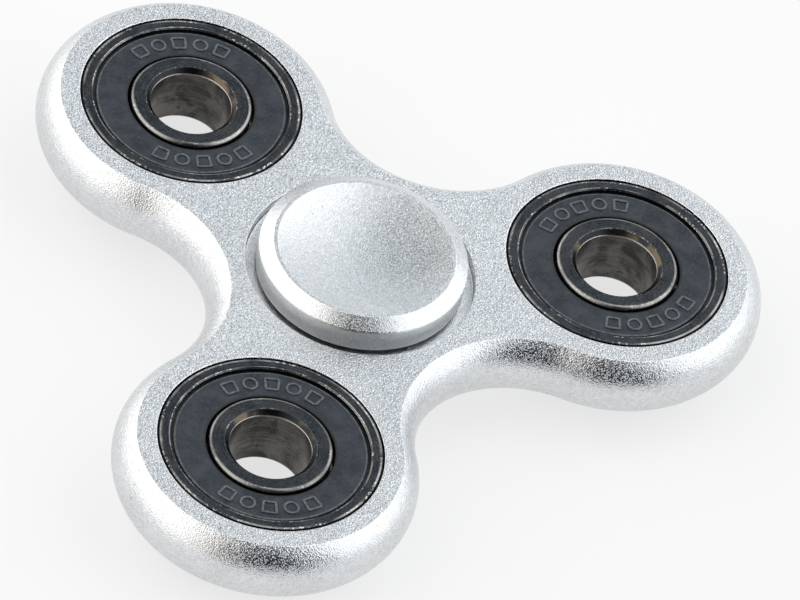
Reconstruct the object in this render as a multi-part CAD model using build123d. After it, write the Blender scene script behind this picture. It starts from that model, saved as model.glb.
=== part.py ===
from build123d import *
from dataclasses import dataclass
import math
import os

# Fidget spinner: a three-lobed aluminium body turns on a small ball bearing held between two
# finger caps, and each lobe holds an open-bore ball bearing. Millimetres, +Z up.
# The origin is on the spin axis, half way through the body. Lobe 1 points along +Y.


@dataclass(frozen=True)
class Bearing:
    """Sizes of one deep-groove ball bearing, centred on the origin with its axis on Z."""

    outer_r: float
    bore_r: float
    width: float
    ball_r: float
    pitch_r: float
    balls: int
    outer_shoulder_r: float
    inner_shoulder_r: float
    face_inner_r: float
    face_break: float
    outer_fillet: float
    inner_fillet: float
    bore_chamfer: float


# ---- driving dimensions ----
LOBES = 3
BODY_THICKNESS = 7.0
LOBE_PITCH_R = 25.8
LOBE_FACE_R = 12.95
WAIST_CENTRE_R = 26.0
SIDE_BULGE = 1.95
POCKET_R = 11.3

CAP_HEIGHT = 2.75
CAP_EDGE_HEIGHT = 1.9
CAP_SINK = 0.75
CAP_LAND_R = 8.95
CAP_DISH_R = 8.6
CAP_DISH_DEPTH = 0.9
CAP_EDGE_R = 10.3
CAP_FOOT_R = 10.2
CAP_EDGE_FILLET = 0.2
CAP_BOSS_R = 4.1
SPIGOT_PLAY = 0.01
SPIGOT_GAP = 0.25
STUD_R = 2.0
STUD_TIP = 3.6
STUD_CHAMFER = 0.3
STUD_HOLE_END = 4.0

# 8 x 22 x 7 mm bearing in each lobe, 6.35 x 12.7 x 4.762 mm bearing at the centre
LOBE_BEARING = Bearing(
    outer_r=11.0,
    bore_r=4.0,
    width=7.0,
    ball_r=3.969 / 2,
    pitch_r=7.5,
    balls=7,
    outer_shoulder_r=9.0,
    inner_shoulder_r=6.0,
    face_inner_r=9.7,
    face_break=0.12,
    outer_fillet=0.4,
    inner_fillet=0.22,
    bore_chamfer=0.5,
)
HUB_BEARING = Bearing(
    outer_r=6.35,
    bore_r=3.175,
    width=4.762,
    ball_r=1.588 / 2,
    pitch_r=4.7625,
    balls=10,
    outer_shoulder_r=5.25,
    inner_shoulder_r=4.25,
    face_inner_r=5.75,
    face_break=0.06,
    outer_fillet=0.2,
    inner_fillet=0.1,
    bore_chamfer=0.2,
)
BALL_PLAY = 0.01
GROOVE_CONFORMITY = 1.038

SEAL_GROOVE_R = 9.95
SEAL_GROOVE_TOP = 2.85
SEAL_LEDGE = 2.2
SEAL_TOP = 3.22
SEAL_UNDERSIDE = 2.6
SEAL_PLATE_R = 9.4
SEAL_STEP = 2.75
SEAL_BEAD_R = 9.9
SEAL_BEAD_INNER_R = 9.2
SEAL_INNER_R = 6.27
SEAL_LIP_FILLET = 0.12

MARK_HEIGHT = 0.12
MARK_ROOT = 0.1
MARK_INNER_R = 7.1
MARK_OUTER_R = 8.7
MARK_LINE = 0.26
MARK_HALF_ANGLE = 5.6
MARK_SPACING = 15.5
MARKS_PER_ARC = 5
# direction of the first arc of marks on each lobe's seals, degrees from +X
MARK_DIRECTIONS = (59.0, 229.0, 77.0)

CAGE_SHEET = 0.3
CAGE_BALL_PLAY = 0.04
CAGE_INNER_R = 6.5
CAGE_OUTER_R = 8.5
RIVET_R = 0.3
RIVET_HEAD_R = 0.52
RIVET_HEAD_HEIGHT = 0.22

SHIELD_LEDGE = 1.95
SHIELD_SHEET = 0.2
SHIELD_RIM_R = 5.45
SHIELD_RIM_TOP = 2.3
SHIELD_INNER_R = 4.4
HUB_CAGE_INNER_R = 4.42
HUB_CAGE_OUTER_R = 5.1
HUB_CAGE_FOOT = 1.15
HUB_CAGE_PRONG = 0.42

HALF_BODY = BODY_THICKNESS / 2
HALF_HUB = HUB_BEARING.width / 2
THROUGH = 2 * BODY_THICKNESS


# ---- small helpers ----
def revolved(points):
    """Solid of revolution about Z from a closed outline of (radius, height) points."""
    return revolve(make_face(Plane.XZ * Polyline(*points, close=True)), Axis.Z)


def tube(inner_r, outer_r, low, high):
    """Plain ring between two heights."""
    height = high - low
    return Pos(0, 0, (low + high) / 2) * (Cylinder(outer_r, height) - Cylinder(inner_r, height))


def disc(radius, low, high):
    """Plain disc between two heights."""
    return Pos(0, 0, (low + high) / 2) * Cylinder(radius, high - low)


def around(count, radius, start=0.0):
    """Places evenly spaced on a circle about Z."""
    return [Rot(0, 0, start + 360 / count * i) * Pos(radius, 0, 0) for i in range(count)]


def upside_down(shape):
    """The same shape turned over about the X axis."""
    return Rot(180, 0, 0) * shape


def polar(radius, degrees):
    angle = math.radians(degrees)
    return (radius * math.cos(angle), radius * math.sin(angle))


def circles_at(shape, radius, height):
    """Circular edges of one radius at one height."""
    edges = shape.edges().filter_by(GeomType.CIRCLE)
    return [e for e in edges if abs(e.radius - radius) < 1e-4 and abs(e.arc_center.Z - height) < 1e-4]


def fillet_circles(shape, size, *places):
    """Round the circular edges found at each (radius, height)."""
    edges = [edge for radius, height in places for edge in circles_at(shape, radius, height)]
    return fillet(edges, size)


def lobe_angle(index):
    return 90.0 + 360.0 / LOBES * index


def lobe_centre(index):
    return polar(LOBE_PITCH_R, lobe_angle(index))


# ---- spinner body ----
def side_arc(start_r, bulge):
    """Arc from the lower face to the upper one that swells by the bulge half way up."""
    return ThreePointArc((start_r, -HALF_BODY), (start_r + bulge, 0), (start_r, HALF_BODY))


def lobe_sector(direction, opening):
    """Wedge of a lobe's disc with its rounded rim, about Z."""
    faces = Polyline(
        (LOBE_FACE_R, HALF_BODY), (0, HALF_BODY), (0, -HALF_BODY), (LOBE_FACE_R, -HALF_BODY)
    )
    face = make_face(Plane.XZ * (faces + side_arc(LOBE_FACE_R, SIDE_BULGE)))
    return Rot(0, 0, direction - opening / 2) * revolve(face, Axis.Z, opening)


def waist_cutter(radius):
    """Spool that leaves the rounded side of a waist, about Z."""
    past = HALF_BODY + 1
    outline = Polyline(
        (radius, HALF_BODY), (radius, past), (0, past), (0, -past), (radius, -past), (radius, -HALF_BODY)
    )
    return revolve(make_face(Plane.XZ * (outline + side_arc(radius, -SIDE_BULGE))), Axis.Z)


def body_blank():
    """Three lobes joined by concave waists, with no holes."""
    lobes = [lobe_centre(i) for i in range(LOBES)]
    waists = [polar(WAIST_CENTRE_R, lobe_angle(i) + 180 / LOBES) for i in range(LOBES)]
    corners = [point for pair in zip(lobes, waists) for point in pair]
    blank = extrude(make_face(Polyline(*corners, close=True)), HALF_BODY, both=True)
    waist_r = math.dist(lobes[0], waists[0]) - LOBE_FACE_R
    for x, y in waists:
        blank -= Pos(x, y, 0) * waist_cutter(waist_r)
    towards_waist = math.atan2(waists[0][1] - lobes[0][1], waists[0][0] - lobes[0][0])
    opening = 2 * ((math.degrees(towards_waist) - lobe_angle(0)) % 360)
    for index, (x, y) in enumerate(lobes):
        blank += Pos(x, y, 0) * lobe_sector(lobe_angle(index), opening)
    return blank


def spinner_frame():
    """Body with a through hole for each bearing and a shallow pocket under each cap."""
    frame = body_blank()
    for index in range(LOBES):
        frame -= Pos(*lobe_centre(index)) * Cylinder(LOBE_BEARING.outer_r, THROUGH)
    frame -= Cylinder(HUB_BEARING.outer_r, THROUGH)
    pocket = disc(POCKET_R, HALF_HUB, BODY_THICKNESS)
    return frame - pocket - upside_down(pocket)


# ---- finger caps ----
def cap_disc():
    """Upper cap: rim wall, bevel, thin flat land and a shallow finger dish, with its boss."""
    top = HALF_BODY + CAP_HEIGHT
    edge = HALF_BODY + CAP_EDGE_HEIGHT
    foot = HALF_BODY - CAP_SINK
    knob = revolved([(0, foot), (CAP_FOOT_R, foot), (CAP_EDGE_R, edge), (CAP_LAND_R, top), (0, top)])
    knob = fillet_circles(knob, CAP_EDGE_FILLET, (CAP_FOOT_R, foot), (CAP_EDGE_R, edge))
    dish_r = (CAP_DISH_R**2 + CAP_DISH_DEPTH**2) / (2 * CAP_DISH_DEPTH)
    knob -= Pos(0, 0, top - CAP_DISH_DEPTH + dish_r) * Sphere(dish_r)
    return knob + disc(CAP_BOSS_R, HALF_HUB, foot)


def spigot():
    """Round stem that centres a cap in the centre bearing's bore."""
    return disc(HUB_BEARING.bore_r - SPIGOT_PLAY, SPIGOT_GAP, HALF_BODY)


def top_cap():
    """Cap with a blind hole up its spigot for the other cap's stud."""
    return cap_disc() + spigot() - disc(STUD_R, -SPIGOT_GAP, STUD_HOLE_END)


def bottom_cap():
    """Cap with a stud that screws into the top cap."""
    stud = disc(STUD_R, -HALF_BODY, STUD_TIP)
    stud = chamfer(circles_at(stud, STUD_R, STUD_TIP), STUD_CHAMFER)
    return upside_down(cap_disc() + spigot()) + stud


# ---- rings, balls and cages ----
def ball_track(bearing, side):
    """Ring that cuts the ball groove: side +1 for the outer ring, -1 for the inner ring."""
    groove_r = bearing.ball_r * GROOVE_CONFORMITY
    bottom_r = bearing.pitch_r + side * (bearing.ball_r + BALL_PLAY)
    return Torus(bottom_r - side * groove_r, groove_r)


def outer_ring(bearing, seat):
    """Outer ring from the (radius, height) points of the seat that holds its seal or shield."""
    half = bearing.width / 2
    lip_r = bearing.face_inner_r
    lip = [(lip_r + bearing.face_break, half), (lip_r, half - bearing.face_break)]
    upper = [(bearing.outer_r, half)] + lip + seat
    lower = [(radius, -height) for radius, height in reversed(upper)]
    ring = revolved(upper + lower) - ball_track(bearing, 1)
    return fillet_circles(ring, bearing.outer_fillet, (bearing.outer_r, half), (bearing.outer_r, -half))


def inner_ring(bearing):
    """Inner ring with rounded outer edges and a chamfered bore."""
    half = bearing.width / 2
    mouth_r = bearing.bore_r + bearing.bore_chamfer
    throat = half - bearing.bore_chamfer
    upper = [(bearing.bore_r, throat), (mouth_r, half), (bearing.inner_shoulder_r, half)]
    lower = [(radius, -height) for radius, height in reversed(upper)]
    ring = revolved(upper + lower) - ball_track(bearing, -1)
    edge_r = bearing.inner_shoulder_r
    return fillet_circles(ring, bearing.inner_fillet, (edge_r, half), (edge_r, -half))


def balls(bearing):
    """All the balls of one bearing as separate solids."""
    return Part() + [place * Sphere(bearing.ball_r) for place in around(bearing.balls, bearing.pitch_r)]


def lobe_outer_ring():
    """Outer ring with an undercut groove and a ledge for each seal's bead."""
    seat = [
        (LOBE_BEARING.face_inner_r, SEAL_GROOVE_TOP),
        (SEAL_GROOVE_R, SEAL_GROOVE_TOP),
        (SEAL_GROOVE_R, SEAL_LEDGE),
        (LOBE_BEARING.outer_shoulder_r, SEAL_LEDGE),
    ]
    return outer_ring(LOBE_BEARING, seat)


def hub_outer_ring():
    """Outer ring with a plain step for each shield."""
    seat = [(HUB_BEARING.face_inner_r, SHIELD_LEDGE), (HUB_BEARING.outer_shoulder_r, SHIELD_LEDGE)]
    return outer_ring(HUB_BEARING, seat)


def rivet_places():
    bearing = LOBE_BEARING
    return around(bearing.balls, bearing.pitch_r, 180 / bearing.balls)


def lobe_cage_half():
    """Upper half of a pressed ribbon cage: flats between ball pockets, holed for the rivets."""
    bearing = LOBE_BEARING
    pocket_r = bearing.ball_r + CAGE_BALL_PLAY
    ribbon = tube(CAGE_INNER_R, CAGE_OUTER_R, 0, CAGE_SHEET)
    band = tube(CAGE_INNER_R, CAGE_OUTER_R, 0, pocket_r + 2 * CAGE_SHEET)
    for place in around(bearing.balls, bearing.pitch_r):
        ribbon += (place * Sphere(pocket_r + CAGE_SHEET)) & band
    for place in around(bearing.balls, bearing.pitch_r):
        ribbon -= place * Sphere(pocket_r)
    for place in rivet_places():
        ribbon -= place * Cylinder(RIVET_R, THROUGH)
    return ribbon


def lobe_cage_rivets():
    """Rivets that join the two cage halves, as separate solids."""
    shank = disc(RIVET_R, -CAGE_SHEET, CAGE_SHEET)
    head_r = (RIVET_HEAD_R**2 + RIVET_HEAD_HEIGHT**2) / (2 * RIVET_HEAD_HEIGHT)
    dome = Pos(0, 0, CAGE_SHEET + RIVET_HEAD_HEIGHT - head_r) * Sphere(head_r)
    head = dome & disc(RIVET_HEAD_R, CAGE_SHEET, 1)
    rivet = shank + head + upside_down(head)
    return Part() + [place * rivet for place in rivet_places()]


def hub_cage():
    """Crown cage: a ring with a round pocket for each ball, open on one side."""
    cage = tube(HUB_CAGE_INNER_R, HUB_CAGE_OUTER_R, -HUB_CAGE_FOOT, HUB_CAGE_PRONG)
    for place in around(HUB_BEARING.balls, HUB_BEARING.pitch_r):
        cage -= place * Sphere(HUB_BEARING.ball_r + CAGE_BALL_PLAY)
    return cage


def hub_shield():
    """Upper pressed steel shield with a raised rim."""
    top = SHIELD_LEDGE + SHIELD_SHEET
    rim_r = HUB_BEARING.face_inner_r
    return revolved(
        [
            (SHIELD_INNER_R, SHIELD_LEDGE),
            (rim_r, SHIELD_LEDGE),
            (rim_r, SHIELD_RIM_TOP),
            (SHIELD_RIM_R, SHIELD_RIM_TOP),
            (SHIELD_RIM_R, top),
            (SHIELD_INNER_R, top),
        ]
    )


# ---- rubber seals of the lobe bearings ----
def sector_face(inner_r, outer_r, half_angle):
    """Flat piece of a ring, centred on +X."""
    outer = CenterArc((0, 0), outer_r, -half_angle, 2 * half_angle)
    inner = CenterArc((0, 0), inner_r, -half_angle, 2 * half_angle)
    return make_face([outer, inner, Line(outer @ 0, inner @ 0), Line(outer @ 1, inner @ 1)])


def frame_mark():
    """Outline of a keystone."""
    middle_r = (MARK_INNER_R + MARK_OUTER_R) / 2
    inset = MARK_HALF_ANGLE - math.degrees(MARK_LINE / middle_r)
    opening = sector_face(MARK_INNER_R + MARK_LINE, MARK_OUTER_R - MARK_LINE, inset)
    return sector_face(MARK_INNER_R, MARK_OUTER_R, MARK_HALF_ANGLE) - opening


def ring_mark():
    """Outline of a circle."""
    radius = (MARK_OUTER_R - MARK_INNER_R) / 2
    return Pos(MARK_INNER_R + radius, 0, 0) * (Circle(radius) - Circle(radius - MARK_LINE))


def seal_marks(direction):
    """Two opposite arcs of raised plain marks, keystones and circles by turns."""
    base = Pos(0, 0, SEAL_TOP - MARK_ROOT)
    solids = []
    for side in (0, 180):
        for index in range(MARKS_PER_ARC):
            outline = frame_mark() if index % 2 == 0 else ring_mark()
            turn = direction + side + (index - (MARKS_PER_ARC - 1) / 2) * MARK_SPACING
            solids.append(Rot(0, 0, turn) * base * extrude(outline, MARK_ROOT + MARK_HEIGHT))
    return solids


def lobe_seal(direction):
    """Upper seal: flat plate, a step down to the snapped-in bead, and a free inner lip."""
    seal = revolved(
        [
            (SEAL_INNER_R, SEAL_UNDERSIDE),
            (SEAL_BEAD_INNER_R, SEAL_UNDERSIDE),
            (SEAL_BEAD_INNER_R, SEAL_LEDGE),
            (SEAL_BEAD_R, SEAL_LEDGE),
            (SEAL_BEAD_R, SEAL_STEP),
            (SEAL_PLATE_R, SEAL_STEP),
            (SEAL_PLATE_R, SEAL_TOP),
            (SEAL_INNER_R, SEAL_TOP),
        ]
    )
    seal = fillet_circles(seal, SEAL_LIP_FILLET, (SEAL_INNER_R, SEAL_TOP), (SEAL_PLATE_R, SEAL_TOP))
    return seal + seal_marks(direction)


# ---- assembly ----
def lobe_nodes(index):
    """Every piece of one lobe's bearing, in place."""
    direction = MARK_DIRECTIONS[index]
    pieces = {
        "outer_ring": lobe_outer_ring(),
        "inner_ring": inner_ring(LOBE_BEARING),
        "balls": balls(LOBE_BEARING),
        "cage_upper": lobe_cage_half(),
        "cage_lower": upside_down(lobe_cage_half()),
        "cage_rivets": lobe_cage_rivets(),
        "seal_upper": lobe_seal(direction),
        "seal_lower": upside_down(lobe_seal(-direction)),
    }
    place = Pos(*lobe_centre(index))
    return {f"lobe_{index + 1}_{name}": place * piece for name, piece in pieces.items()}


def all_nodes():
    nodes = {
        "spinner_frame": spinner_frame(),
        "cap_top": top_cap(),
        "cap_bottom": bottom_cap(),
        "hub_outer_ring": hub_outer_ring(),
        "hub_inner_ring": inner_ring(HUB_BEARING),
        "hub_balls": balls(HUB_BEARING),
        "hub_cage": hub_cage(),
        "hub_shield_upper": hub_shield(),
        "hub_shield_lower": upside_down(hub_shield()),
    }
    for index in range(LOBES):
        nodes.update(lobe_nodes(index))
    return nodes


os.makedirs("parts", exist_ok=True)
for node, shape in all_nodes().items():
    export_step(shape, f"parts/{node}.step")
    print(node, round(shape.volume, 3))
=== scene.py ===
"""Looks of the fidget spinner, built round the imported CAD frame.

The body, the caps, and the rings and seals of the lobe bearings are new meshes with rounded
edges that stand for their CAD nodes. The balls, cages, shields and hub rings keep their CAD
meshes and only get a finish. Lengths are in millimetres until a mesh or a node socket is made,
and positions come from the frame's boxes.
"""

import math

import bmesh
import bpy
import numpy as np
from mathutils import Matrix, Vector


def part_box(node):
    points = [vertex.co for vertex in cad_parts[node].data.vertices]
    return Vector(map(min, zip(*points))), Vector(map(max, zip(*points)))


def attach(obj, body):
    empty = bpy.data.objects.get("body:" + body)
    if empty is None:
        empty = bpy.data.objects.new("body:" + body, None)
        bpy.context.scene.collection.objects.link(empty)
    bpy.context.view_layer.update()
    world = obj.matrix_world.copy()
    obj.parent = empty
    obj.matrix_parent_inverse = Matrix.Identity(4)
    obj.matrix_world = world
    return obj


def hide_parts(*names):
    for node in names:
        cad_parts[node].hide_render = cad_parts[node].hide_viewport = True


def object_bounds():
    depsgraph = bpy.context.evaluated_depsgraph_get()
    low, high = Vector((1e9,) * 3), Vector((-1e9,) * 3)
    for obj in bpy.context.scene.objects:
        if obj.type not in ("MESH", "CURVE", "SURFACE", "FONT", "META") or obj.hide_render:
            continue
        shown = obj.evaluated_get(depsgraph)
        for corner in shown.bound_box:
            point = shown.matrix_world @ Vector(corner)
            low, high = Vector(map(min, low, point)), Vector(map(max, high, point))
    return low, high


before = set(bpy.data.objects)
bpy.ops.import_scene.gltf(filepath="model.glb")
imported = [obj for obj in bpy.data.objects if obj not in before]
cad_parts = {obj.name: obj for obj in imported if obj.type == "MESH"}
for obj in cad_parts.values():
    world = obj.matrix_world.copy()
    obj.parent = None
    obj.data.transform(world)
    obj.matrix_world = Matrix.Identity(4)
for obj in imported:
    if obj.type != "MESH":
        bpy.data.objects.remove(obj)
cad_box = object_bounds()

MM = 0.001
LOBES = (1, 2, 3)
LOBE_TURN = 360 / len(LOBES)


# ---- dimensions, in millimetres ----
def box_mm(node):
    low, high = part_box(node)
    return np.array(low) / MM, np.array(high) / MM


def centre_mm(node):
    low, high = box_mm(node)
    return tuple((low[:2] + high[:2]) / 2)


def outer_radius_mm(node):
    low, high = box_mm(node)
    return (high[0] - low[0]) / 2


HALF_BODY = box_mm("spinner_frame")[1][2]
LOBE_CENTRES = {n: centre_mm(f"lobe_{n}_outer_ring") for n in LOBES}
LOBE_PITCH_R = math.hypot(*LOBE_CENTRES[1])
LOBE_RING_R = outer_radius_mm("lobe_1_outer_ring")
HUB_RING_R = outer_radius_mm("hub_outer_ring")
HALF_HUB = box_mm("hub_outer_ring")[1][2]
CAP_EDGE_R = outer_radius_mm("cap_top")
CAP_TOP = box_mm("cap_top")[1][2]

LOBE_FACE_R = 12.95
WAIST_CENTRE_R = 26.0
SIDE_BULGE = 1.92
SIDE_ROUNDING = 0.12
POCKET_R = 11.3
HOLE_PLAY = 0.01
FACE_RIM = 0.6
HOLE_RIM = 0.5
POCKET_RIM = 0.4

CAP_EDGE_Z = 5.4
CAP_EDGE_ROUNDING = 0.2
CAP_FOOT_Z = 2.75
CAP_FOOT_R = 10.2
CAP_LAND_R = 8.95
CAP_DISH_R = 8.6
CAP_DISH_DEPTH = 0.9
CAP_BOSS_R = 4.1
SPIGOT_R = 3.165
SPIGOT_END = 0.25
STUD_HOLE_R = 2.0
STUD_HOLE_END = 4.0
STUD_R = 1.99
STUD_TIP = 3.6
STUD_CHAMFER = 0.3

BORE_R = 4.0
BORE_MOUTH_R = 4.5
BORE_CHAMFER = 0.5
INNER_RING_R = 6.0
INNER_RING_ROUNDING = 0.34
OUTER_SHOULDER_R = 9.0
OUTER_RING_ROUNDING = 0.4
FACE_INNER_R = 9.7
FACE_CHAMFER = 0.12
TRACK_R = 2.06
OUTER_TRACK_CENTRE_R = 7.4345
INNER_TRACK_CENTRE_R = 7.5655
SEAL_GROOVE_R = 9.95
SEAL_GROOVE_TOP = 2.85
SEAL_LEDGE = 2.2

SEAL_INNER_R = 6.27
SEAL_UNDERSIDE = 2.6
SEAL_TOP = 3.22
SEAL_STEP = 2.75
SEAL_ROUNDING = 0.12
SEAL_PLATE_R = 9.4
SEAL_BEAD_R = 9.9
SEAL_BEAD_INNER_R = 9.2

MARK_INNER_R = 7.1
MARK_OUTER_R = 8.7
MARK_LINE = 0.26
MARK_HEIGHT = 0.12
MARK_SINK = 0.03
MARK_EDGE = 0.05
MARK_EDGE_WEAR = 0.6
MARK_ROUNDING = 0.14
MARK_HALF_ANGLE = 5.6
MARK_SPACING = 15.5
MARKS_PER_ARC = 5

# direction in degrees, at each lobe, of the middle of one arc of marks on the upper seal
MARK_DIRECTIONS = {1: 59.0, 2: 229.0, 3: 77.0}

# roundings of small edges, from the crispest to the softest
CRISP = 0.04
BROKEN = 0.05
DULLED = 0.06
SOFTENED = 0.08
EASED = 0.1

# how finely curves are divided
LATHE_SEGMENTS = 256
HOLE_SEGMENTS = 192
LOBE_STEPS = 120
WAIST_STEPS = 72
SIDE_STEPS = 36
DISH_STEPS = 32
TRACK_STEPS = 12
MARK_SIDE_POINTS = 7
MARK_CIRCLE_POINTS = 36

# a support row keeps the shading of a flat side flat: its usual distance from a rounding, the
# share of the side that it stays within, and the least distance worth a row
SUPPORT_GAP = 0.12
SUPPORT_SHARE = 0.45
LEAST_GAP = 0.01


# ---- outlines: points of (across, height, rounding) become rows of (across, height, wear) ----
def arc(centre, radius, start, end, steps):
    """Points with no rounding on an arc, its ends left out."""
    angles = np.radians(np.linspace(start, end, steps + 1))[1:-1]
    return [(centre[0] + radius * math.cos(a), centre[1] + radius * math.sin(a), 0) for a in angles]


def rounded_corner(before, here, after, size, steps, support):
    """Rows for one corner: the rounding with full wear, between support rows where there is room."""
    here = np.array(here)
    sides = [np.array(before) - here, np.array(after) - here]
    lengths = [np.linalg.norm(side) for side in sides]
    towards = [side / length for side, length in zip(sides, lengths)]
    half = math.acos(np.clip(towards[0] @ towards[1], -1, 1)) / 2
    reach = size / math.tan(half)
    middle = towards[0] + towards[1]
    centre = here + middle / np.linalg.norm(middle) * size / math.sin(half)
    spokes = [here + way * reach - centre for way in towards]
    sweep = math.pi - 2 * half
    rows = []
    for k in range(steps + 1):
        parts = math.sin((1 - k / steps) * sweep), math.sin(k / steps * sweep)
        point = centre + (parts[0] * spokes[0] + parts[1] * spokes[1]) / math.sin(sweep)
        rows.append((*point, 1.0))
    supports = []
    for way, length in zip(towards, lengths):
        gap = min(support, SUPPORT_SHARE * length - reach)
        supports.append([(*(here + way * (reach + gap)), 0.0)] if gap > LEAST_GAP else [])
    return supports[0] + rows + supports[1]


def rounded(points, steps=3, support=SUPPORT_GAP, closed=True):
    """Rows through outline points; a point with no rounding stays as it is."""
    rows = []
    for i, (across, height, size) in enumerate(points):
        inside = closed or 0 < i < len(points) - 1
        if size and inside:
            before, after = points[i - 1], points[(i + 1) % len(points)]
            rows += rounded_corner(before[:2], (across, height), after[:2], size, steps, support)
        else:
            rows.append((across, height, 0.0))
    return rows


def mirrored(points):
    """The same outline points below the middle plane, in reverse, to follow on from the upper ones."""
    return [(across, -height, size) for across, height, size in reversed(points)]


# ---- meshes ----
def unit_circle(segments):
    """Points round a circle of radius 1."""
    turns = np.linspace(0, 2 * math.pi, segments, endpoint=False)
    return np.stack([np.cos(turns), np.sin(turns)], 1)


class Shape:
    """Vertices in millimetres about the shape's own axis, with faces and wear."""

    def __init__(self):
        self.points = []
        self.faces = []
        self.wear = []

    def add_loop(self, points, height, wear):
        """One loop of vertices at a height; returns their numbers."""
        start = len(self.points)
        self.points += [(x, y, height) for x, y in points]
        self.wear += [wear] * len(points)
        return list(range(start, start + len(points)))

    def bridge(self, first, second):
        """Faces between two loops, one of which may be a single vertex."""
        corners = ((first, 0), (second, 0), (second, 1), (first, 1))
        for k in range(max(len(first), len(second))):
            face = dict.fromkeys(loop[(k + step) % len(loop)] for loop, step in corners)
            if len(face) > 2:
                self.faces.append(list(face))

    def join_round(self, loops):
        """Faces from each loop to the next, and from the last to the first."""
        for first, second in zip(loops, loops[1:] + loops[:1]):
            self.bridge(first, second)

    def lathe(self, rows):
        """Closed ring or solid of revolution."""
        circle = unit_circle(LATHE_SEGMENTS)
        loops = []
        for radius, height, wear in rows:
            around = circle * radius if radius else [(0.0, 0.0)]
            loops.append(self.add_loop(around, height, wear))
        self.join_round(loops)
        return self

    def strip(self, rows, spot):
        """Open band through rows, each loop's points given by spot(across); returns the end loops."""
        loops = [self.add_loop(spot(across), height, wear) for across, height, wear in rows]
        for first, second in zip(loops, loops[1:]):
            self.bridge(first, second)
        return loops[0], loops[-1]

    def mirror(self):
        """Turns the shape over about the X axis."""
        self.points = [(x, -y, -z) for x, y, z in self.points]
        return self


def fill_flat(mesh, loops):
    """Flat face between an outer loop and the loops of its holes."""
    edges = []
    for loop in loops:
        for a, b in zip(loop, loop[1:] + loop[:1]):
            pair = (mesh.verts[a], mesh.verts[b])
            edges.append(mesh.edges.get(pair) or mesh.edges.new(pair))
    bmesh.ops.triangle_fill(mesh, edges=edges, use_beauty=True, normal=(0, 0, 1))


def piece(name, shape, body, node, slot, centre=(0.0, 0.0), flats=()):
    """Object from a shape, in its slot's material, riding on its body in place of its CAD node."""
    mesh = bmesh.new()
    for x, y, z in shape.points:
        mesh.verts.new(((x + centre[0]) * MM, (y + centre[1]) * MM, z * MM))
    mesh.verts.ensure_lookup_table()
    for face in shape.faces:
        mesh.faces.new([mesh.verts[k] for k in face])
    for loops in flats:
        fill_flat(mesh, loops)
    bmesh.ops.recalc_face_normals(mesh, faces=mesh.faces)
    data = bpy.data.meshes.new(name)
    mesh.to_mesh(data)
    mesh.free()
    data.shade_smooth()
    local = data.attributes.new("local", "FLOAT_VECTOR", "POINT")
    local.data.foreach_set("vector", np.array(shape.points, np.float32).ravel())
    wear = data.attributes.new("wear", "FLOAT", "POINT")
    wear.data.foreach_set("value", np.array(shape.wear, np.float32))
    data.materials.append(MATERIALS[slot])
    thing = bpy.data.objects.new(name, data)
    bpy.context.scene.collection.objects.link(thing)
    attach(thing, body)
    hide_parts(node)


# ---- shapes of the pieces ----
def polar(radius, degrees):
    """Flat point at a radius and an angle."""
    angle = math.radians(degrees)
    return np.array((radius * math.cos(angle), radius * math.sin(angle)))


def direction(vector):
    """Angle of a flat vector in degrees."""
    return math.degrees(math.atan2(vector[1], vector[0]))


def body_outline():
    """Points of the upper face's outline and the outward direction at each, counterclockwise."""
    points, normals = [], []
    for n in LOBES:
        lobe = np.array(LOBE_CENTRES[n])
        along = direction(lobe)
        waist = polar(WAIST_CENTRE_R, along + LOBE_TURN / 2)
        next_lobe = polar(LOBE_PITCH_R, along + LOBE_TURN)
        half = (direction(waist - lobe) - along) % 360
        for angle in np.linspace(along - half, along + half, LOBE_STEPS, endpoint=False):
            normals.append(polar(1, angle))
            points.append(lobe + normals[-1] * LOBE_FACE_R)
        waist_r = np.linalg.norm(waist - lobe) - LOBE_FACE_R
        start = direction(lobe - waist)
        sweep = -((start - direction(next_lobe - waist)) % 360)
        for angle in np.linspace(start, start + sweep, WAIST_STEPS, endpoint=False):
            normals.append(-polar(1, angle))
            points.append(waist - normals[-1] * waist_r)
    return np.array(points), np.array(normals)


def side_rows():
    """Rows from the upper face over the crease and the round side to the lower face."""
    radius = (HALF_BODY**2 + SIDE_BULGE**2) / (2 * SIDE_BULGE)
    lean = math.degrees(math.asin(HALF_BODY / radius))
    swell = arc((SIDE_BULGE - radius, 0), radius, lean, -lean, SIDE_STEPS)
    crease = [(-FACE_RIM, HALF_BODY, 0), (0, HALF_BODY, SIDE_ROUNDING)]
    return rounded(crease + swell + mirrored(crease), closed=False)


def body_shape():
    """Spinner body and the loops that bound its two flat faces."""
    shape = Shape()
    outline, outward = body_outline()
    ends = [shape.strip(side_rows(), lambda across: outline + outward * across)]
    circle = unit_circle(HOLE_SEGMENTS)
    hole = [(LOBE_RING_R + HOLE_RIM, HALF_BODY, 0), (LOBE_RING_R + HOLE_PLAY, HALF_BODY, DULLED)]
    rows = rounded(hole + mirrored(hole), closed=False)
    for centre in LOBE_CENTRES.values():
        ends.append(shape.strip(rows, lambda across: circle * across + np.array(centre)))
    pocket = [
        (POCKET_R + POCKET_RIM, HALF_BODY, 0),
        (POCKET_R, HALF_BODY, SOFTENED),
        (POCKET_R, HALF_HUB, EASED),
        (HUB_RING_R + HOLE_PLAY, HALF_HUB, BROKEN),
    ]
    rows = rounded(pocket + mirrored(pocket), closed=False)
    ends.append(shape.strip(rows, lambda across: circle * across))
    return shape, list(zip(*ends))


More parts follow.
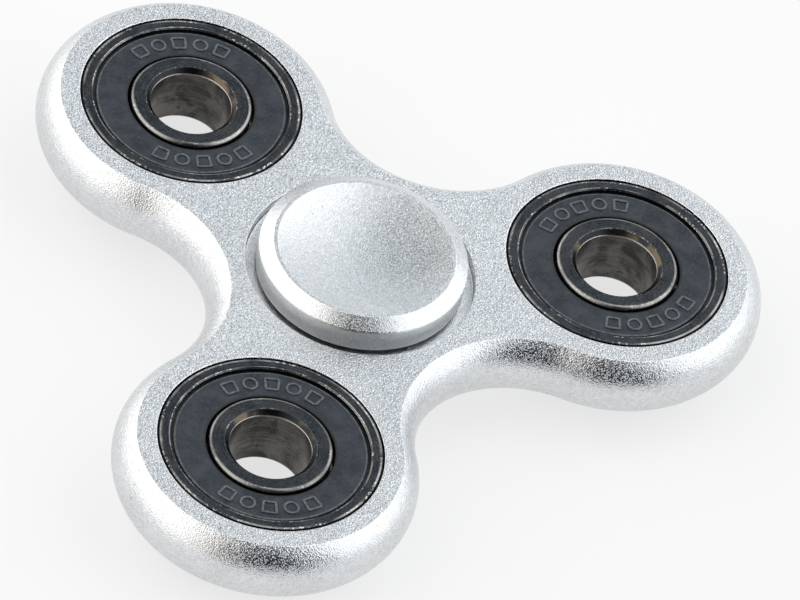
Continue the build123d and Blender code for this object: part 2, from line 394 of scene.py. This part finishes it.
def cap_shape(stem):
    """Cap from the middle of its dish, over the rim and down to the given stem points."""
    dish_r = (CAP_DISH_R**2 + CAP_DISH_DEPTH**2) / (2 * CAP_DISH_DEPTH)
    bottom = CAP_TOP - CAP_DISH_DEPTH
    lean = math.degrees(math.asin(CAP_DISH_R / dish_r))
    dish = arc((0, bottom + dish_r), dish_r, -90, lean - 90, DISH_STEPS)
    rim = [
        (CAP_DISH_R, CAP_TOP, DULLED),
        (CAP_LAND_R, CAP_TOP, SOFTENED),
        (CAP_EDGE_R, CAP_EDGE_Z, CAP_EDGE_ROUNDING),
        (CAP_FOOT_R, CAP_FOOT_Z, CAP_EDGE_ROUNDING),
        (CAP_BOSS_R, CAP_FOOT_Z, EASED),
        (CAP_BOSS_R, HALF_HUB, BROKEN),
        (SPIGOT_R, HALF_HUB, BROKEN),
        (SPIGOT_R, SPIGOT_END, EASED),
    ]
    return Shape().lathe(rounded([(0, bottom, 0)] + dish + rim + stem, steps=4))


def upper_cap_shape():
    """Cap with a hole for the stud."""
    return cap_shape(
        [
            (STUD_HOLE_R, SPIGOT_END, BROKEN),
            (STUD_HOLE_R, STUD_HOLE_END, EASED),
            (0, STUD_HOLE_END, 0),
        ]
    )


def lower_cap_shape():
    """Cap with a stud, turned over."""
    stem = [
        (STUD_R, SPIGOT_END, BROKEN),
        (STUD_R, STUD_CHAMFER - STUD_TIP, BROKEN),
        (STUD_R - STUD_CHAMFER, -STUD_TIP, BROKEN),
        (0, -STUD_TIP, 0),
    ]
    return cap_shape(stem).mirror()


def track(centre_r, shoulder_r, side):
    """Upper half of a ball track's outline, from the shoulder to the middle plane.

    Side is 1 for the track in an outer ring and -1 for the one in an inner ring.
    """
    top = math.sqrt(TRACK_R**2 - (shoulder_r - centre_r) ** 2)
    start = math.degrees(math.atan2(top, shoulder_r - centre_r))
    end = 0 if side > 0 else 180
    curve = arc((centre_r, 0), TRACK_R, start, end, TRACK_STEPS)
    return [(shoulder_r, top, CRISP)] + curve + [(centre_r + side * TRACK_R, 0, 0)]


def ring_shape(upper):
    """Bearing ring from the upper half of its outline, which ends on the middle plane."""
    return Shape().lathe(rounded(upper + mirrored(upper[:-1]), steps=5))


def outer_ring_shape():
    face = [
        (LOBE_RING_R, HALF_BODY, OUTER_RING_ROUNDING),
        (FACE_INNER_R + FACE_CHAMFER, HALF_BODY, BROKEN),
        (FACE_INNER_R, HALF_BODY - FACE_CHAMFER, BROKEN),
        (FACE_INNER_R, SEAL_GROOVE_TOP, CRISP),
        (SEAL_GROOVE_R, SEAL_GROOVE_TOP, BROKEN),
        (SEAL_GROOVE_R, SEAL_LEDGE, BROKEN),
        (OUTER_SHOULDER_R, SEAL_LEDGE, BROKEN),
    ]
    return ring_shape(face + track(OUTER_TRACK_CENTRE_R, OUTER_SHOULDER_R, 1))


def inner_ring_shape():
    face = [
        (BORE_R, HALF_BODY - BORE_CHAMFER, DULLED),
        (BORE_MOUTH_R, HALF_BODY, DULLED),
        (INNER_RING_R, HALF_BODY, INNER_RING_ROUNDING),
    ]
    return ring_shape(face + track(INNER_TRACK_CENTRE_R, INNER_RING_R, -1))


def add_mark(shape, path, turn):
    """Raised bead along a closed flat path, lying on the seal's plate."""
    path = np.array(path)
    along = np.roll(path, -1, 0) - np.roll(path, 1, 0)
    along /= np.linalg.norm(along, axis=1)[:, None]
    across = np.stack([-along[:, 1], along[:, 0]], 1)
    half = MARK_LINE / 2
    section = [
        (-half, -MARK_SINK, 0.0),
        (-half, MARK_HEIGHT - MARK_EDGE, MARK_EDGE_WEAR),
        (MARK_EDGE - half, MARK_HEIGHT, 1.0),
        (half - MARK_EDGE, MARK_HEIGHT, 1.0),
        (half, MARK_HEIGHT - MARK_EDGE, MARK_EDGE_WEAR),
        (half, -MARK_SINK, 0.0),
    ]
    c, s = polar(1, turn)
    spin = np.array(((c, s), (-s, c)))
    shape.join_round(
        [
            shape.add_loop((path + across * offset) @ spin, SEAL_TOP + height, wear)
            for offset, height, wear in section
        ]
    )


def keystone_path():
    """Middle line of a keystone's outline, its corners rounded."""
    inner = MARK_INNER_R + MARK_LINE / 2
    outer = MARK_OUTER_R - MARK_LINE / 2
    half = MARK_HALF_ANGLE - math.degrees(MARK_LINE / (inner + outer))
    corners = []
    for radius, start, end in ((inner, -half, half), (outer, half, -half)):
        middle = [(*polar(radius, a), 0) for a in np.linspace(start, end, MARK_SIDE_POINTS)[1:-1]]
        corners.append((*polar(radius, start), MARK_ROUNDING))
        corners += middle
        corners.append((*polar(radius, end), MARK_ROUNDING))
    return [row[:2] for row in rounded(corners, steps=4, support=0.0)]


def circle_path():
    middle = (MARK_INNER_R + MARK_OUTER_R) / 2
    radius = (MARK_OUTER_R - MARK_INNER_R - MARK_LINE) / 2
    return unit_circle(MARK_CIRCLE_POINTS) * radius + (middle, 0)


def seal_shape(first_direction):
    """Seal with an arc of marks in the given direction and another opposite."""
    outline = [
        (SEAL_INNER_R, SEAL_UNDERSIDE, BROKEN),
        (SEAL_BEAD_INNER_R, SEAL_UNDERSIDE, BROKEN),
        (SEAL_BEAD_INNER_R, SEAL_LEDGE, BROKEN),
        (SEAL_BEAD_R, SEAL_LEDGE, EASED),
        (SEAL_BEAD_R, SEAL_STEP, EASED),
        (SEAL_PLATE_R, SEAL_STEP, DULLED),
        (SEAL_PLATE_R, SEAL_TOP, SEAL_ROUNDING),
        (SEAL_INNER_R, SEAL_TOP, SEAL_ROUNDING),
    ]
    shape = Shape().lathe(rounded(outline, steps=4))
    for middle in (first_direction, first_direction + 180):
        for index in range(MARKS_PER_ARC):
            path = circle_path() if index % 2 else keystone_path()
            step = (index - (MARKS_PER_ARC - 1) / 2) * MARK_SPACING
            add_mark(shape, path, middle + step)
    return shape


# ---- shader nodes ----
class Nodes:
    """Short way to add nodes to a tree, whose inputs are numbers, vectors or other nodes' sockets."""

    def __init__(self, tree):
        self.tree = tree

    def node(self, kind, inputs=(), **settings):
        """The outputs of a new node with the given inputs and settings."""
        made = self.tree.nodes.new(kind)
        for key, value in settings.items():
            setattr(made, key, value)
        for key, value in dict(inputs).items():
            if isinstance(value, bpy.types.NodeSocket):
                self.tree.links.new(value, made.inputs[key])
            else:
                made.inputs[key].default_value = value
        return made.outputs

    def math(self, operation, first, second=0.0):
        return self.node("ShaderNodeMath", {0: first, 1: second}, operation=operation)[0]

    def vector(self, operation, *vectors, **scale):
        """The outputs of a vector operation; SCALE takes its factor as Scale."""
        inputs = dict(enumerate(vectors)) | scale
        return self.node("ShaderNodeVectorMath", inputs, operation=operation)

    def times(self, first, *others):
        for other in others:
            first = self.math("MULTIPLY", first, other)
        return first

    def plus(self, first, *others):
        for other in others:
            first = self.math("ADD", first, other)
        return first

    def ramp(self, value, low, high, start=0.0, end=1.0, kind="SMOOTHSTEP"):
        """Start where value is below low, end where it is above high, and a slope between."""
        inputs = {"Value": value, "From Min": low, "From Max": high, "To Min": start, "To Max": end}
        return self.node("ShaderNodeMapRange", inputs, interpolation_type=kind)[0]

    def fade(self, value, low, high, most=1.0):
        """Most where value is below low, and nothing where it is above high."""
        return self.ramp(value, low, high, most, 0.0)


class Finish(Nodes):
    """One procedural material."""

    def __init__(self, name, **sockets):
        self.material = bpy.data.materials.new(name)
        self.material.use_nodes = True
        super().__init__(self.material.node_tree)
        self.shader = self.tree.nodes["Principled BSDF"]
        for socket, value in sockets.items():
            self.shader.inputs[socket.replace("_", " ")].default_value = value
        self.place = self.node("ShaderNodeTexCoord")["Object"]

    def attribute(self, name, output="Fac"):
        return self.node("ShaderNodeAttribute", attribute_name=name)[output]

    def noise(self, size, detail=2.0, rough=0.5, distort=0.0, place=None):
        """Noise from 0 to 1 with features about size thousandths of a unit of the place across.

        The usual place is the object's own, in metres, so that size is in millimetres.
        """
        inputs = {
            "Vector": place or self.place,
            "Scale": 1 / (size * MM),
            "Detail": detail,
            "Roughness": rough,
            "Distortion": distort,
        }
        return self.node("ShaderNodeTexNoise", inputs)[0]

    def dimples(self, size):
        """Distance to the nearest of scattered points about size millimetres apart."""
        inputs = {"Vector": self.place, "Scale": 1 / (size * MM)}
        return self.node("ShaderNodeTexVoronoi", inputs)["Distance"]

    def mix(self, share, first, second):
        """First where share is 0 and second where it is 1; each is a colour or a socket."""
        inputs = {0: share, 6: first, 7: second}
        for key, value in inputs.items():
            if isinstance(value, tuple):
                inputs[key] = (*value, 1.0)
        return self.node("ShaderNodeMix", inputs, data_type="RGBA")[2]

    def about_axis(self):
        """Distance from the piece's own axis, height, and flat vector from the axis, in millimetres."""
        split = self.node("ShaderNodeSeparateXYZ", {0: self.attribute("local", "Vector")})
        flat = self.node("ShaderNodeCombineXYZ", {0: split[0], 1: split[1]})[0]
        return self.vector("LENGTH", flat)["Value"], split[2], flat

    def turned(self, pitch, arc_length):
        """Noise drawn out round the piece's axis, like turning or grinding marks."""
        radius, height, flat = self.about_axis()
        ring = self.vector("NORMALIZE", flat)[0]
        ring = self.vector("SCALE", ring, Scale=1 / arc_length)[0]
        depth = self.times(self.plus(radius, height), 1 / pitch)
        lift = self.node("ShaderNodeCombineXYZ", {2: depth})[0]
        place = self.vector("ADD", ring, lift)[0]
        return self.noise(1 / MM, detail=3.0, rough=0.6, place=place)

    def bump(self, height, depth, normal=None):
        """Bump whose full height is depth millimetres."""
        inputs = {"Height": height, "Distance": depth * MM, "Strength": 1.0}
        if normal:
            inputs["Normal"] = normal
        return self.node("ShaderNodeBump", inputs)[0]

    def finish(self, colour, roughness=None, normal=None):
        for socket, value in (("Base Color", colour), ("Roughness", roughness), ("Normal", normal)):
            if value:
                self.tree.links.new(value, self.shader.inputs[socket])
        return self.material


# ---- colours: linear red, green and blue, or a darker and a lighter one ----
BODY_ALUMINIUM = (0.54, 0.555, 0.57), (0.84, 0.86, 0.875)
CAP_ALUMINIUM = (0.57, 0.585, 0.595), (0.84, 0.855, 0.865)
RUBBED_ALUMINIUM = (0.86, 0.87, 0.88)
ALUMINIUM_SCUFF = (0.22, 0.22, 0.22)
# painted shade for the pockets under the caps
POCKET_SHADE = (0.25, 0.255, 0.26)

OXIDE = (0.034, 0.041, 0.049), (0.066, 0.068, 0.07)
GRINDING_MARK = (0.12, 0.125, 0.13)
PALE_GRIT = (0.13, 0.14, 0.152)
DARK_GRIT = (0.014, 0.017, 0.021)
STRAW_CHAMFER = (0.026, 0.027, 0.03), (0.12, 0.095, 0.068)
BORE_WALL = (0.036, 0.033, 0.029), (0.12, 0.116, 0.11)
BORE_BLOT = (0.03, 0.027, 0.025)
SHINED_STEEL = (0.34, 0.335, 0.32)
EDGE_LINE = (0.4, 0.395, 0.375)
THROAT_LINE = (0.55, 0.54, 0.5)
BARE_STEEL = (0.8, 0.78, 0.7)
# painted shade: near black for the gap between an outer ring's rim and the body
RIM_GAP_SHADE = (0.004, 0.004, 0.005)

RUBBER = (0.006, 0.012, 0.019), (0.028, 0.037, 0.048)
RUBBER_DUST = (0.045, 0.053, 0.062)
RUBBER_SCUFF = (0.13, 0.14, 0.15)
# painted shade for the groove between a seal's inner lip and the inner ring
LIP_SHADE = (0.003, 0.003, 0.004)

HUB_STEEL = (0.46, 0.46, 0.47), (0.62, 0.62, 0.63)
BALL_STEEL = (0.58, 0.58, 0.59), (0.7, 0.7, 0.7)
CAGE_STEEL = (0.34, 0.32, 0.29), (0.56, 0.54, 0.5)
SHIELD_STEEL = (0.44, 0.44, 0.45), (0.62, 0.62, 0.62)

FLOOR_GREY = (0.19, 0.19, 0.192), (0.21, 0.21, 0.21)


# ---- materials ----
def blasted_aluminium(name, shades, grain, depth, speckle, smoothest, roughest):
    """Bead-blasted, clear-anodised aluminium: fine dimples that sparkle, and brighter worn edges."""
    f = Finish(name, Metallic=1.0)
    radius, height, _ = f.about_axis()
    from_middle = f.math("ABSOLUTE", height)
    coarse = f.noise(grain, detail=1.0, rough=0.55)
    fine = f.noise(grain * 0.6, detail=1.0)
    dimples = f.dimples(grain * 1.25)
    glints = f.ramp(f.noise(grain, detail=0.0, distort=0.3), 0.58, 0.7)
    relief = f.plus(coarse, f.times(fine, 0.5), f.times(dimples, 0.35), f.times(glints, 0.45))
    on_face = f.ramp(from_middle, HALF_BODY - 0.06, HALF_BODY - 0.01, 0.35, 1.0)
    speckles = f.ramp(f.plus(coarse, f.times(fine, 0.6)), 0.55, 1.05, -speckle, speckle)
    clouds = f.ramp(f.noise(6.0, detail=3.0), 0.3, 0.7, 0.42, 0.58)
    mottling = f.ramp(f.noise(0.45), 0.35, 0.65, -0.1, 0.1)
    colour = f.mix(f.plus(f.times(speckles, on_face), clouds, mottling), *shades)
    rubbed = f.times(f.attribute("wear"), f.ramp(f.noise(0.5), 0.45, 0.62), 0.6)
    colour = f.mix(rubbed, colour, RUBBED_ALUMINIUM)
    nicks = f.ramp(f.noise(0.55, detail=3.0), 0.66, 0.72)
    scuffed = f.times(nicks, f.ramp(f.noise(8.0), 0.55, 0.62), 0.55)
    colour = f.mix(scuffed, colour, ALUMINIUM_SCUFF)
    roughness = f.ramp(fine, 0.3, 0.7, smoothest, roughest, kind="LINEAR")
    return f, colour, roughness, f.bump(relief, depth), radius, from_middle


def body_aluminium():
    """Blasted body, with painted shade making it a little darker down in the pockets under the caps."""
    f, colour, roughness, normal, radius, from_middle = blasted_aluminium(
        "blasted_body",
        BODY_ALUMINIUM,
        grain=0.15,
        depth=0.036,
        speckle=0.5,
        smoothest=0.12,
        roughest=0.24,
    )
    # painted shade: the pocket's wall and floor under the cap are mixed a tenth of the way to a darker
    # grey
    sunk = f.fade(from_middle, HALF_BODY - 0.5, HALF_BODY - 0.1)
    pocket = f.times(f.fade(radius, POCKET_R, POCKET_R + 0.05), sunk, 0.1)
    return f.finish(f.mix(pocket, colour, POCKET_SHADE), roughness, normal)


def cap_aluminium():
    """Blasted caps, rougher on the wall under the edge."""
    f, colour, roughness, normal, _, from_middle = blasted_aluminium(
        "blasted_caps",
        CAP_ALUMINIUM,
        grain=0.11,
        depth=0.017,
        speckle=0.42,
        smoothest=0.14,
        roughest=0.24,
    )
    wall = f.fade(from_middle, CAP_EDGE_Z - 0.3, CAP_EDGE_Z - 0.1, 0.25)
    return f.finish(colour, f.plus(roughness, wall), normal)


def blackened(f, ground, oxide, grit):
    """Black oxide, paler where it was ground and mottled by grit."""
    colour = f.mix(f.ramp(oxide, 0.35, 0.7), *OXIDE)
    colour = f.mix(f.ramp(ground, 0.4, 0.8, 0.0, 0.4), colour, GRINDING_MARK)
    colour = f.mix(f.ramp(grit, 0.5, 0.72, 0.0, 0.45), colour, PALE_GRIT)
    return f.mix(f.fade(grit, 0.28, 0.46, 0.5), colour, DARK_GRIT)


def stained_bore(f, colour, radius, height, oxide):
    """Colour with a straw-tinted chamfer and a browner, blotted bore wall laid over it."""
    straw = f.ramp(f.noise(2.5), 0.48, 0.66)
    on_chamfer = f.fade(radius, BORE_MOUTH_R - 0.08, BORE_MOUTH_R - 0.03)
    colour = f.mix(on_chamfer, colour, f.mix(straw, *STRAW_CHAMFER))
    stain = f.plus(f.times(f.turned(0.22, 2.0), 0.3), f.times(oxide, 0.7))
    wall = f.mix(f.ramp(stain, 0.36, 0.64), *BORE_WALL)
    blots = f.ramp(f.noise(0.8, detail=3.0, rough=0.6), 0.62, 0.7, 0.0, 0.8)
    wall = f.mix(blots, wall, BORE_BLOT)
    wall_top = HALF_BODY - BORE_CHAMFER
    below_chamfer = f.fade(f.math("ABSOLUTE", height), wall_top - 0.1, wall_top)
    on_wall = f.times(f.fade(radius, BORE_R + 0.03, BORE_R + 0.12), below_chamfer)
    return f.mix(on_wall, colour, wall)


def rubbed_edges(f, colour, radius):
    """Colour with edges rubbed bare: bands on the inner ring, lines and specks on the outer ring."""
    edge = f.ramp(f.attribute("wear"), 0.35, 0.9)
    inner_rim = f.ramp(radius, INNER_RING_R - 0.4, INNER_RING_R - 0.25)
    inner_rim = f.times(inner_rim, f.fade(radius, INNER_RING_R + 0.02, INNER_RING_R + 0.1))
    uneven = f.ramp(f.noise(4.0, detail=1.0), 0.35, 0.6, 0.25, 0.9)
    colour = f.mix(f.times(inner_rim, edge, uneven), colour, SHINED_STEEL)
    outer = INNER_RING_R + 0.2, OUTER_SHOULDER_R
    broken_line = f.ramp(f.noise(3.6, detail=1.0), 0.4, 0.62, 0.0, 0.8)
    colour = f.mix(f.times(edge, broken_line, f.ramp(radius, *outer)), colour, EDGE_LINE)
    throat = f.fade(radius, BORE_R + 0.12, BORE_R + 0.2, 0.75)
    colour = f.mix(f.times(edge, throat), colour, THROAT_LINE)
    specks = f.ramp(f.noise(0.3, detail=4.0, rough=0.7), 0.53, 0.6)
    patches = f.ramp(f.noise(3.2), 0.4, 0.56)
    bare = f.times(edge, f.ramp(radius, *outer, 0.35, 1.0), specks, patches)
    return f.mix(bare, colour, BARE_STEEL)


def bearing_steel():
    """Blackened bearing steel: ground faces, rubbed edges, a browner bore and painted shade in the gap
    at the rim.
    """
    f = Finish("blackened_bearing_steel", Metallic=1.0)
    radius, height, _ = f.about_axis()
    ground = f.turned(0.07, 0.5)
    oxide = f.noise(2.2, detail=4.0, rough=0.6, distort=0.8)
    grit = f.noise(0.17)
    colour = blackened(f, ground, oxide, grit)
    colour = stained_bore(f, colour, radius, height, oxide)
    colour = rubbed_edges(f, colour, radius)
    # painted shade: the outer ring's rounded rim beside the body's hole wall is coloured near black, as
    # the gap there lies in shade
    colour = f.mix(f.ramp(radius, LOBE_RING_R - 0.3, LOBE_RING_R - 0.2), colour, RIM_GAP_SHADE)
    roughness = f.ramp(f.plus(ground, f.times(oxide, 0.5)), 0.45, 1.0, 0.2, 0.38, kind="LINEAR")
    return f.finish(colour, roughness, f.bump(grit, 0.012, f.bump(ground, 0.004)))


def seal_rubber():
    """Moulded nitrile rubber: slate black, faintly clouded, paler raised marks and painted shade on the
    inner lip.
    """
    f = Finish("seal_rubber", Specular_IOR_Level=0.4)
    radius, _, _ = f.about_axis()
    grain = f.noise(0.16, detail=3.0, rough=0.6)
    cloud = f.noise(1.8, detail=4.0, rough=0.6)
    colour = f.mix(f.ramp(cloud, 0.3, 0.7), *RUBBER)
    dust = f.ramp(f.noise(0.35, detail=3.0, rough=0.65), 0.5, 0.7, 0.0, 0.6)
    colour = f.mix(dust, colour, RUBBER_DUST)
    scuffed = f.times(f.attribute("wear"), f.ramp(f.noise(0.3), 0.3, 0.7, 0.35, 1.0))
    colour = f.mix(scuffed, colour, RUBBER_SCUFF)
    # painted shade: the seal's inner lip next to the inner ring goes almost black, as the groove there
    # lies in shade
    lip_shade = f.fade(radius, SEAL_INNER_R + 0.14, SEAL_INNER_R + 0.3, 0.92)
    colour = f.mix(lip_shade, colour, LIP_SHADE)
    roughness = f.ramp(grain, 0.3, 0.7, 0.4, 0.58, kind="LINEAR")
    return f.finish(colour, roughness, f.bump(grain, 0.012))


def plain_steel(name, shades, smoothest, roughest, grain, depth):
    """Bare or pressed steel for the nodes inside the bearings."""
    f = Finish(name, Metallic=1.0)
    fine = f.noise(grain, detail=3.0, rough=0.6)
    film = f.noise(1.3, detail=3.0, distort=0.5)
    tone = f.plus(f.times(fine, 0.5), f.times(film, 0.5))
    colour = f.mix(f.ramp(tone, 0.35, 0.65), *shades)
    roughness = f.ramp(fine, 0.3, 0.7, smoothest, roughest, kind="LINEAR")
    return f.finish(colour, roughness, f.bump(fine, depth))


MATERIALS = {
    "body_aluminium": body_aluminium(),
    "cap_aluminium": cap_aluminium(),
    "lobe_ring_steel": bearing_steel(),
    "seal_rubber": seal_rubber(),
    "hub_ring_steel": plain_steel(
        "hub_ring_steel", HUB_STEEL, smoothest=0.14, roughest=0.26, grain=0.1, depth=0.003
    ),
    "ball_steel": plain_steel(
        "polished_balls", BALL_STEEL, smoothest=0.05, roughest=0.1, grain=0.4, depth=0.001
    ),
    "cage_steel": plain_steel(
        "pressed_cage", CAGE_STEEL, smoothest=0.25, roughest=0.42, grain=0.2, depth=0.006
    ),
    "shield_steel": plain_steel(
        "pressed_shield", SHIELD_STEEL, smoothest=0.2, roughest=0.34, grain=0.15, depth=0.005
    ),
}


# ---- pieces ----
def lobe_pieces(n):
    """Rings and seals of one lobe's bearing."""
    turn = MARK_DIRECTIONS[n]
    parts = (
        ("outer_ring", outer_ring_shape(), "spinner", "lobe_ring_steel"),
        ("inner_ring", inner_ring_shape(), f"lobe_{n}_axle_ring", "lobe_ring_steel"),
        ("seal_upper", seal_shape(turn), "spinner", "seal_rubber"),
        ("seal_lower", seal_shape(-turn).mirror(), "spinner", "seal_rubber"),
    )
    for part, shape, body, slot in parts:
        piece(f"bearing_{n}_{part}", shape, body, f"lobe_{n}_{part}", slot, LOBE_CENTRES[n])


body, body_flats = body_shape()
piece("spinner_body", body, "spinner", "spinner_frame", "body_aluminium", flats=body_flats)
piece("finger_cap_upper", upper_cap_shape(), "finger_hub", "cap_top", "cap_aluminium")
piece("finger_cap_lower", lower_cap_shape(), "finger_hub", "cap_bottom", "cap_aluminium")
for n in LOBES:
    lobe_pieces(n)

CAD_FINISHES = {
    "balls": "ball_steel",
    "cage": "cage_steel",
    "shield": "shield_steel",
    "hub": "hub_ring_steel",
}
for name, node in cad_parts.items():
    if not node.hide_render:
        slot = next(slot for word, slot in CAD_FINISHES.items() if word in name)
        node.data.materials.clear()
        node.data.materials.append(MATERIALS[slot])


# ---- floor, light and camera ----
FLOOR_R = 4000.0 * MM
FLOOR_SIDES = 96
FLOOR_GLOW = 0.72

# each pool of light or shade: azimuth, elevation, full within and gone beyond, all in degrees,
# then the brightness that it adds to red, green and blue
STUDIO = (
    (-36.0, 46.0, 32.0, 51.0, (0.9, 0.9, 0.9)),
    (138.0, 18.0, 60.0, 68.0, (0.92, 0.85, 0.77)),
    (-130.0, 27.0, 37.5, 44.0, (-0.87, -0.89, -0.9)),
    (68.0, 54.0, 8.0, 27.0, (-0.7, -0.7, -0.7)),
    (-110.0, 74.0, 10.0, 28.0, (-1.1, -1.1, -1.1)),
    (-168.0, 3.0, 8.0, 26.0, (-0.26, -0.28, -0.3)),
)
STUDIO_BASE = (0.855, 0.895, 0.925)

CAMERA_TARGET = Vector((3.153, -3.225, 0.0)) * MM
CAMERA_DISTANCE = 1117.03 * MM
CAMERA_AZIMUTH = -141.21
CAMERA_ELEVATION = 46.27
CAMERA_ROLL = 14.52
CAMERA_LENS = 518.14
CAMERA_SENSOR = 36.0
CAMERA_NEAREST = 50.0 * MM
CAMERA_FARTHEST = 20000.0 * MM


def unit(azimuth, elevation):
    """Direction of length 1 from angles in degrees."""
    a, e = math.radians(azimuth), math.radians(elevation)
    return Vector((math.cos(a) * math.cos(e), math.sin(a) * math.cos(e), math.sin(e)))


def make_floor(height):
    """Pale disc with a glow of its own, so that shadows on it stay light."""
    mesh = bmesh.new()
    bmesh.ops.create_circle(mesh, cap_ends=True, segments=FLOOR_SIDES, radius=FLOOR_R)
    bmesh.ops.translate(mesh, verts=mesh.verts, vec=(0, 0, height))
    data = bpy.data.meshes.new("floor")
    mesh.to_mesh(data)
    mesh.free()
    f = Finish("pale_floor", Roughness=0.75, Specular_IOR_Level=0.2, Emission_Strength=FLOOR_GLOW)
    f.shader.inputs["Emission Color"].default_value = (1.0, 1.0, 1.0, 1.0)
    data.materials.append(f.finish(f.mix(f.noise(30.0), *FLOOR_GREY)))
    floor = bpy.data.objects.new("floor", data)
    bpy.context.scene.collection.objects.link(floor)


def make_studio():
    """World whose brightness depends only on the direction in the room."""
    world = bpy.data.worlds.new("studio")
    world.use_nodes = True
    room = Nodes(world.node_tree)
    way = room.node("ShaderNodeTexCoord")["Generated"]
    colour = room.node("ShaderNodeCombineXYZ", dict(enumerate(STUDIO_BASE)))[0]
    for azimuth, elevation, full, gone, strength in STUDIO:
        nearness = room.vector("DOT_PRODUCT", way, unit(azimuth, elevation))["Value"]
        share = room.ramp(nearness, math.cos(math.radians(gone)), math.cos(math.radians(full)))
        colour = room.vector("MULTIPLY_ADD", share, strength, colour)[0]
    colour = room.vector("MAXIMUM", colour, (0.0, 0.0, 0.0))[0]
    room.tree.links.new(colour, room.tree.nodes["Background"].inputs["Color"])
    bpy.context.scene.world = world


def make_camera():
    """Camera at a distance from its target, in the direction given by the two angles, and rolled."""
    data = bpy.data.cameras.new("camera")
    data.lens = CAMERA_LENS
    data.sensor_width = CAMERA_SENSOR
    data.clip_start = CAMERA_NEAREST
    data.clip_end = CAMERA_FARTHEST
    camera = bpy.data.objects.new("camera", data)
    bpy.context.scene.collection.objects.link(camera)
    back = unit(CAMERA_AZIMUTH, CAMERA_ELEVATION)
    right = Vector((0, 0, 1)).cross(back).normalized()
    axes = Matrix((right, back.cross(right), back)).transposed()
    turned = axes @ Matrix.Rotation(math.radians(CAMERA_ROLL), 3, "Z")
    place = Matrix.Translation(CAMERA_TARGET + back * CAMERA_DISTANCE)
    camera.matrix_world = place @ turned.to_4x4()
    bpy.context.scene.camera = camera


make_floor(cad_box[0][2])
make_studio()
make_camera()
bpy.context.scene.view_settings.view_transform = "Standard"
